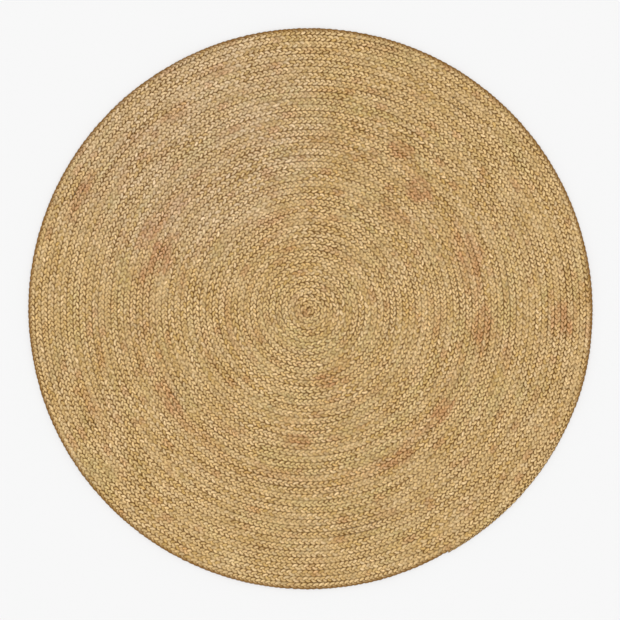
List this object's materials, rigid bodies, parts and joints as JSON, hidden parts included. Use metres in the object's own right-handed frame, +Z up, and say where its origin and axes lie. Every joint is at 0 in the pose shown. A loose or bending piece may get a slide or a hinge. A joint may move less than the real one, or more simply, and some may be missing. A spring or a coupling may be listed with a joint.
{
  "type": "area rug",
  "caption": "Round braided jute rug: a three-strand plait coiled flat from the centre, its turns sewn edge to edge, with a tapered outer end.",
  "frame": {"origin": "on the underside, below the middle of the rug's outline", "axes": "+Z up, away from the floor; +X to the right and -Y towards the viewer, with the coil's tapered end towards +X -Y"},
  "size_m": [1.1996, 1.193, 0.008],
  "materials": {
    "jute_01": "natural jute, matt",
    "jute_02": "natural jute, matt",
    "jute_03": "natural jute, matt",
    "jute_04": "natural jute, matt",
    "jute_05": "natural jute, matt",
    "jute_06": "natural jute, matt",
    "jute_07": "natural jute, matt",
    "jute_08": "natural jute, matt",
    "jute_09": "natural jute, matt",
    "jute_10": "natural jute, matt",
    "jute_11": "natural jute, matt",
    "jute_12": "natural jute, matt",
    "thread_01": "twisted sewing thread, matt",
    "thread_02": "twisted sewing thread, matt",
    "thread_03": "twisted sewing thread, matt",
    "thread_04": "twisted sewing thread, matt",
    "thread_05": "twisted sewing thread, matt",
    "thread_06": "twisted sewing thread, matt",
    "thread_07": "twisted sewing thread, matt",
    "thread_08": "twisted sewing thread, matt",
    "thread_09": "twisted sewing thread, matt",
    "thread_10": "twisted sewing thread, matt",
    "thread_11": "twisted sewing thread, matt",
    "thread_12": "twisted sewing thread, matt"
  },
  "bodies": {
    "root": {"braid_length_01": "jute_01", "braid_length_02": "jute_02", "braid_length_03": "jute_03", "braid_length_04": "jute_04", "braid_length_05": "jute_05", "braid_length_06": "jute_06", "braid_length_07": "jute_07", "braid_length_08": "jute_08", "braid_length_09": "jute_09", "braid_length_10": "jute_10", "braid_length_11": "jute_11", "braid_length_12": "jute_12", "seam_thread_01": "thread_01", "seam_thread_02": "thread_02", "seam_thread_03": "thread_03", "seam_thread_04": "thread_04", "seam_thread_05": "thread_05", "seam_thread_06": "thread_06", "seam_thread_07": "thread_07", "seam_thread_08": "thread_08", "seam_thread_09": "thread_09", "seam_thread_10": "thread_10", "seam_thread_11": "thread_11", "seam_thread_12": "thread_12"}
  },
  "joints": []
}
